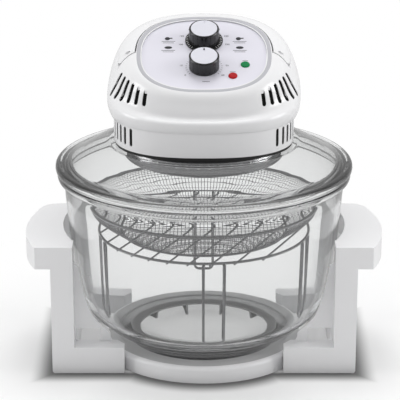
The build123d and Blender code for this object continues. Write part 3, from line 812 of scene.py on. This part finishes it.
class OVEN_OT_stand(bpy.types.Operator):
    """White stand mouldings and rubber pads"""
    bl_idname = "oven.stand"
    bl_label = "Stand"

    def execute(self, context):
        rounding = context.scene.oven_sizes.edge_round
        ring = node_copy("base_ring", "stand_ring", 40)
        settle(ring, "base", stand_white(), ("base_ring",))
        for side in ("left", "right"):
            node = "side_frame_" + side
            item = node_copy(node, "stand_" + side, 40, rounding)
            settle(item, "base", stand_white(), (node,))
        for node in NODES:
            if node.startswith("rubber_pad"):
                pad = node_copy(node, node + "_moulded", 40)
                settle(pad, "base", plain("black_rubber"), (node,))
        return {"FINISHED"}


class OVEN_OT_head(bpy.types.Operator):
    """Head housings, carry handle, panel and gasket"""
    bl_idname = "oven.head"
    bl_label = "Power Head"

    def execute(self, context):
        white, rubber = housing_white(), plain("black_rubber")
        for node, name, body, slot, material in (
                ("lower_housing", "head_lower_band", "lid_head", "white_housing", white),
                ("upper_housing", "head_upper_shell", "lid_head", "white_housing", white),
                ("carry_handle", "bail_handle", "handle", "white_housing", white),
                ("control_panel", "panel_plate", "lid_head", "panel", panel_face()),
                ("head_gasket", "gasket_ring", "lid_head", "rubber", rubber),
                ("dial_ring", "dial_disc", "lid_head", "black_plastic", black_gloss())):
            rounding = 0.5 * MM if node == "dial_ring" else 0.0
            settle(node_copy(node, name, 30, rounding), body, material, (node,))
        return {"FINISHED"}


class OVEN_OT_vents(bpy.types.Operator):
    """Dark sheets behind the housing's vent slots: painted shade for the unlit inside"""
    bl_idname = "oven.vents"
    bl_label = "Vent Shade Sheets"

    def execute(self, context):
        for name, node, first, last, low, high in (
                ("upper_vent_shade_sheet", "upper_housing", -11, -47, 301, 327),
                ("lower_vent_shade_sheet", "lower_housing", -12, -48, 255.5, 278.5)):
            # each sheet is painted shade, dark where the housing's inside would only be unlit
            item = shade_sheet(name, node, first, last, low * MM, high * MM)
            settle(item, "lid_head", plain("vent_dark"))
        return {"FINISHED"}


class OVEN_OT_panel_trim(bpy.types.Operator):
    """Grey border, dial marks, plain figures and simple symbols of the control panel"""
    bl_idname = "oven.panel_trim"
    bl_label = "Panel Trim and Marks"

    def execute(self, context):
        place = panel_frame()
        border = mesh_from("panel_border", lambda bm: self.border(bm, place), 30)
        settle(border, "lid_head", plain("panel_border_grey"))
        dark = mesh_from("panel_print_dark", lambda bm: self.dark_print(bm, place), 30)
        settle(dark, "lid_head", plain("print_ink"))
        marks = context.scene.oven_sizes.dial_marks
        white = mesh_from("dial_print_white", lambda bm: self.dial_ticks(bm, place, marks), 30)
        settle(white, "lid_head", plain("print_white"))
        return {"FINISHED"}

    @staticmethod
    def border(bm, place):
        """A rounded strip along the panel's edge; each step is (outward, height)."""
        count = 128
        rings = []
        for grow, height in ((0.3, -0.1), (-0.6, 0.3), (-3.6, 0.3), (-5.1, -1.0), (-5.1, -1.9)):
            outline = (oval_point(PANEL_ACROSS + grow, PANEL_UPWARD + grow, 2 * math.pi * k / count)
                       for k in range(count))
            rings.append([bm.verts.new(place @ Vector((*point, height))) for point in outline])
        for a, b in zip(rings, rings[1:]):
            bridge(bm, a, b)
        bridge(bm, rings[-1], rings[0])

    @staticmethod
    def dark_print(bm, place):
        """Figures, timer marks and symbols; the upper knob's place stays free of figures."""
        low, high = PANEL_FACE + 0.02, PANEL_FACE + 0.12
        upper, lower = up_slope(UPPER_KNOB), up_slope(LOWER_KNOB)
        for middle, first, step, wide, tall, covered, lowest, by in (
                (upper, -105, 35, 26.2, 24.8, 0.0, 100, 25),
                (lower, -126, 42, 25.0, 24.0, 0.8, 0, 10)):
            for k in range(7):
                turn = math.radians(first + step * k)
                spot = Vector((wide * math.sin(turn), middle + tall * math.cos(turn), high))
                if abs(turn) >= covered:
                    number_mesh(bm, str(lowest + by * k), FIGURE_SIZE,
                                place @ Matrix.Translation(spot))
        for k in range(25):
            turn = math.radians(-126 + 10.5 * k)
            add_slab(bm, bar(TIMER_TICKS * math.sin(turn), lower + TIMER_TICKS * math.cos(turn),
                             0.4, 1.8, -turn), low, high, place)
        for across in (-39, 39):
            for up, oval in ((26, False), (10, True)):
                if oval:
                    add_slab(bm, disc(across, up + 2.5, 4.2, 20, 0.55), low, high, place)
                else:
                    add_slab(bm, disc(across - 1.2, up + 2.5, 2.8), low, high, place)
                    add_slab(bm, bar(across + 2.6, up + 3.2, 3.6, 1.7), low, high + 0.01, place)
                for drop, width in ((2.4, 15), (5.0, 12)):
                    add_slab(bm, bar(across, up - drop, width, 0.55), low, high, place)
        for across, up, width in ((44.5, -10.6, 6), (30.9, -29.9, 6), (2.0, -46.5, 8)):
            add_slab(bm, bar(across, up, width, 0.6), low, high, place)

    @staticmethod
    def dial_ticks(bm, place, marks):
        """White marks round the temperature knob, over three quarters of a turn."""
        upper = up_slope(UPPER_KNOB)
        for k in range(marks):
            turn = math.radians(-135 + 270 * k / (marks - 1))
            add_slab(bm, bar(TEMPERATURE_TICKS * math.sin(turn),
                             upper + TEMPERATURE_TICKS * math.cos(turn), 0.45, 2.0, -turn),
                     0.12, 0.2, place)


class OVEN_OT_knobs(bpy.types.Operator):
    """Control knobs and pilot lenses"""
    bl_idname = "oven.knobs"
    bl_label = "Knobs and Lenses"

    def execute(self, context):
        for control in ("temperature", "timer"):
            body = control + "_control"
            skirt = node_copy(control + "_knob", control + "_knob_skirt", 30, 0.4 * MM)
            settle(skirt, body, black_gloss(), (control + "_knob",))
            face = node_copy(control + "_knob_cap", control + "_knob_face", 30, 0.3 * MM)
            settle(face, body, knob_inlay(), (control + "_knob_cap",))
        mark = mesh_from("timer_pointer", self.pointer, 30)
        settle(mark, "timer_control", plain("print_ink"))
        for node, color in (("lens_green", (0.0, 0.16, 0.045)),
                            ("lens_red", (0.33, 0.004, 0.006))):
            lens = node_copy(node, node + "_dome", 30)
            settle(lens, "lid_head", lens_material(node + "_plastic", color), (node,))
        return {"FINISHED"}

    @staticmethod
    def pointer(bm):
        """Small arrow let into the timer knob's face, towards its rim."""
        low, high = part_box("timer_knob_cap")
        place = panel_frame()
        across = place.inverted() @ LOWER_KNOB
        cap = NODES["timer_knob_cap"].data
        top = max((place.inverted() @ v.co).z for v in cap.vertices)
        radius = (high[0] - low[0]) / 2 / MM
        tip = across.y + radius - 1.2
        add_slab(bm, ((across.x - 1.1, tip - 3.6), (across.x + 1.1, tip - 3.6), (across.x, tip)),
                 top - 0.05, top + 0.06, place)


class OVEN_OT_metalwork(bpy.types.Operator):
    """Reflector, guard, lamp, fan and the inner parts of the head"""
    bl_idname = "oven.metalwork"
    bl_label = "Reflector and Inner Parts"

    def execute(self, context):
        for node, name in (("reflector_flange", "flange_ring"), ("reflector_drum", "drum_shell")):
            settle(node_copy(node, name, 30), "lid_head", spun_metal(), (node,))
        for material, names in (
                (plain("chrome_wire"), ("lamp_guard",)),
                (lamp_glass(), ("halogen_lamp",)),
                (plain("ceramic_holder"), ("lamp_holders",)),
                (black_gloss(), ("cord_gland", "thermostat_body", "timer_body", "safety_switch")),
                (plain("plated_steel"), (
                    "motor_plate", "motor_bracket", "motor_screws", "fan_shaft",
                    "temperature_shaft", "timer_shaft", "handle_pins", "base_screws")),
                (plain("varnished_iron"), ("fan_motor",)),
                (plain("mill_aluminium"), ("hot_air_fan", "cooling_fan")),
                (stand_white(), ("safety_plunger",)),
                # the bowl's seat and ribs take the grey painted shade
                (plain("seat_moulding"), ("bowl_seat", "seat_ribs"))):
            for node in names:
                mesh = NODES[node].data
                mesh.materials.clear()
                mesh.materials.append(material)
        return {"FINISHED"}


# ---- stage, in metres and watts ----
# A ramp's values are (where it starts and ends), (its levels there). Folded light has been
# reflected inside glass before it leaves, and is kept dim so that clear glass has dark edges.

FLOOR_HALF = 6.0
PAINTED_CONTACT_SHADE = (0.0, 0.026), (0.10, 0.86)  # painted contact shadow: the floor's colour, darker near the stand
CONTACT_INSIDE = -4.0  # the shade fades this much faster inside
FLOOR_GLOW = (0.17, 0.42), (0.06, 1.0)  # floor's own light by the distance from the axis
GLOW_THROUGH_GLASS = 0.55
SHINY_FLOOR = 0.7  # floor as chrome and gloss show it
FOLDED_FLOOR, FOLDED_SKY = 0.26, 0.18
SKY_SHINE = (-0.95, -0.45), (0.22, 0.7)  # reflections, from the front to the rear
SKY_HEIGHT = (-0.1, 0.8), (0.35, 0.78)  # light, from below to above
SKY_FACING = (-1.0, -0.3), (0.68, 1.0)  # light, from the front to the rear
LAMP_SIZE = 1.2  # across each disc
LAMP_AIM = Vector((0, 0, 0.2))
LAMPS = (("key_left", (-2.2, -0.35, 1.3), 15.0),
         ("key_right", (2.2, -0.35, 1.3), 18.0),
         ("top", (0.0, 0.5, 2.4), 16.0))
CAMERA_PLACE = (-0.0044, -2.0, 0.859)
CAMERA_DOWN = 0.330  # radians below level
CAMERA_LENS, CAMERA_SENSOR = 169.6, 36.0  # in millimetres


class OVEN_OT_stage(bpy.types.Operator):
    """Pale floor, soft studio lights and the camera"""
    bl_idname = "oven.stage"
    bl_label = "Stage"

    def execute(self, context):
        floor = mesh_from("studio_floor", self.floor_faces)
        floor.data.materials.append(self.floor_material())
        self.world()
        self.lights()
        self.camera(context.scene)
        context.scene.view_settings.view_transform = "Standard"
        return {"FINISHED"}

    @staticmethod
    def floor_faces(bm):
        half = FLOOR_HALF
        corners = ((-half, -half), (half, -half), (half, half), (-half, half))
        bm.faces.new([bm.verts.new((x, y, FLOOR_Z)) for x, y in corners])

    @staticmethod
    def floor_material():
        """Pale floor that shows shadows near the object, with a painted contact shadow round its
        stand.
        """
        material, nodes, links = bare_material("studio_paper")
        nodes.remove(nodes["Principled BSDF"])
        out = nodes["Material Output"]
        calc, step, blend = (partial(make, nodes, links) for make in (math_node, ramp, mix_value))
        path = nodes.new("ShaderNodeLightPath")
        diffuse = nodes.new("ShaderNodeBsdfDiffuse")
        glow = nodes.new("ShaderNodeEmission")
        place = nodes.new("ShaderNodeTexCoord")
        reach = nodes.new("ShaderNodeVectorMath")
        reach.operation = "LENGTH"
        links.new(place.outputs["Object"], reach.inputs[0])
        apart = nodes.new("ShaderNodeSeparateXYZ")
        links.new(place.outputs["Object"], apart.inputs[0])
        across = calc("ABSOLUTE", apart.outputs["X"])
        across = calc("SUBTRACT", across, STAND_OUT)
        along = calc("SUBTRACT", apart.outputs["Y"], (STAND_FRONT + STAND_BACK) / 2)
        along = calc("ABSOLUTE", along)
        along = calc("SUBTRACT", along, (STAND_BACK - STAND_FRONT) / 2)
        feet = calc("MAXIMUM", across, along)
        ring = calc("SUBTRACT", reach.outputs["Value"], SKIRT_HIGH[0])
        gap = calc("MINIMUM", feet, ring)
        within = calc("MULTIPLY", gap, CONTACT_INSIDE)
        gap = calc("MAXIMUM", gap, within)
        # painted contact shadow: the floor's colour darkens towards the stand's edge
        shade = step(gap, *PAINTED_CONTACT_SHADE)
        links.new(shade, diffuse.inputs["Color"])
        share = step(reach.outputs["Value"], *FLOOR_GLOW)
        through = path.outputs["Is Transmission Ray"]
        shiny = path.outputs["Is Glossy Ray"]
        folded = calc("GREATER_THAN", path.outputs["Glossy Depth"], 0.5)
        folded = calc("MULTIPLY", folded, through)
        level = blend(shiny, 1.0, SHINY_FLOOR)
        level = blend(through, level, 1.0)
        level = blend(folded, level, FOLDED_FLOOR)
        links.new(level, glow.inputs["Strength"])
        seen = calc("MAXIMUM", path.outputs["Is Camera Ray"], shiny)
        seen = calc("MAXIMUM", seen, through)
        mask = calc("MULTIPLY", seen, share)
        mask = calc("MAXIMUM", mask, folded)
        under = calc("MULTIPLY", through, GLOW_THROUGH_GLASS)
        mask = calc("MAXIMUM", mask, under)
        mix = nodes.new("ShaderNodeMixShader")
        links.new(mask, mix.inputs["Fac"])
        links.new(diffuse.outputs["BSDF"], mix.inputs[1])
        links.new(glow.outputs["Emission"], mix.inputs[2])
        links.new(mix.outputs["Shader"], out.inputs["Surface"])
        return material

    @staticmethod
    def world():
        """Light mostly from above and behind, a white background, and dim folds in glass."""
        world = bpy.data.worlds.new("studio")
        bpy.context.scene.world = world
        world.use_nodes = True
        nodes, links = world.node_tree.nodes, world.node_tree.links
        calc, step, blend = (partial(make, nodes, links) for make in (math_node, ramp, mix_value))
        back = nodes["Background"]
        path = nodes.new("ShaderNodeLightPath")
        place = nodes.new("ShaderNodeTexCoord")
        apart = nodes.new("ShaderNodeSeparateXYZ")
        links.new(place.outputs["Generated"], apart.inputs[0])
        folded = calc("GREATER_THAN", path.outputs["Glossy Depth"], 0.5)
        bent = blend(folded, 1.0, FOLDED_SKY)
        front = step(apart.outputs["Y"], *SKY_SHINE)
        height = step(apart.outputs["Z"], *SKY_HEIGHT)
        facing = step(apart.outputs["Y"], *SKY_FACING)
        level = calc("MULTIPLY", height, facing)
        level = blend(path.outputs["Is Glossy Ray"], level, front)
        level = blend(path.outputs["Is Transmission Ray"], level, bent)
        level = blend(path.outputs["Is Camera Ray"], level, 1.0)
        links.new(level, back.inputs["Strength"])
        back.inputs["Color"].default_value = (1, 1, 1, 1)

    @staticmethod
    def lights():
        """Two lamps at the sides and one above; the one above stays out of reflections."""
        for name, place, power in LAMPS:
            light = bpy.data.lights.new(name, "AREA")
            light.shape = "DISK"
            light.size = LAMP_SIZE
            light.energy = power
            lamp = bpy.data.objects.new(name, light)
            lamp.visible_glossy = name != "top"
            lamp.visible_transmission = False
            bpy.context.scene.collection.objects.link(lamp)
            lamp.location = place
            aim = LAMP_AIM - Vector(place)
            lamp.rotation_euler = aim.to_track_quat("-Z", "Y").to_euler()

    @staticmethod
    def camera(scene):
        data = bpy.data.cameras.new("view")
        data.sensor_width = CAMERA_SENSOR
        data.lens = CAMERA_LENS
        camera = bpy.data.objects.new("view", data)
        scene.collection.objects.link(camera)
        camera.location = CAMERA_PLACE
        camera.rotation_euler = (math.pi / 2 - CAMERA_DOWN, 0, 0)
        scene.camera = camera


class OVEN_PT_panel(bpy.types.Panel):
    """Lists the pieces and their settings"""
    bl_idname = "OVEN_PT_panel"
    bl_label = "Halogen Oven"
    bl_space_type = "VIEW_3D"
    bl_region_type = "UI"
    bl_category = "Oven"

    def draw(self, context):
        for operator in OPERATORS:
            self.layout.operator(operator.bl_idname)
        for group in (context.scene.oven_sizes, context.scene.oven_finish):
            for name in group.__annotations__:
                self.layout.prop(group, name)


OPERATORS = (OVEN_OT_stand, OVEN_OT_glass, OVEN_OT_rack, OVEN_OT_basket, OVEN_OT_head,
             OVEN_OT_vents, OVEN_OT_panel_trim, OVEN_OT_knobs, OVEN_OT_metalwork, OVEN_OT_stage)
CLASSES = (OvenSizes, OvenFinish, *OPERATORS, OVEN_PT_panel)


def register():
    for cls in CLASSES:
        bpy.utils.register_class(cls)
    bpy.types.Scene.oven_sizes = bpy.props.PointerProperty(type=OvenSizes)
    bpy.types.Scene.oven_finish = bpy.props.PointerProperty(type=OvenFinish)


def unregister():
    del bpy.types.Scene.oven_finish
    del bpy.types.Scene.oven_sizes
    for cls in reversed(CLASSES):
        bpy.utils.unregister_class(cls)


def main():
    """Builds every piece."""
    register()
    for operator in OPERATORS:
        group, name = operator.bl_idname.split(".")
        getattr(getattr(bpy.ops, group), name)()


if __name__ == "__main__":
    main()
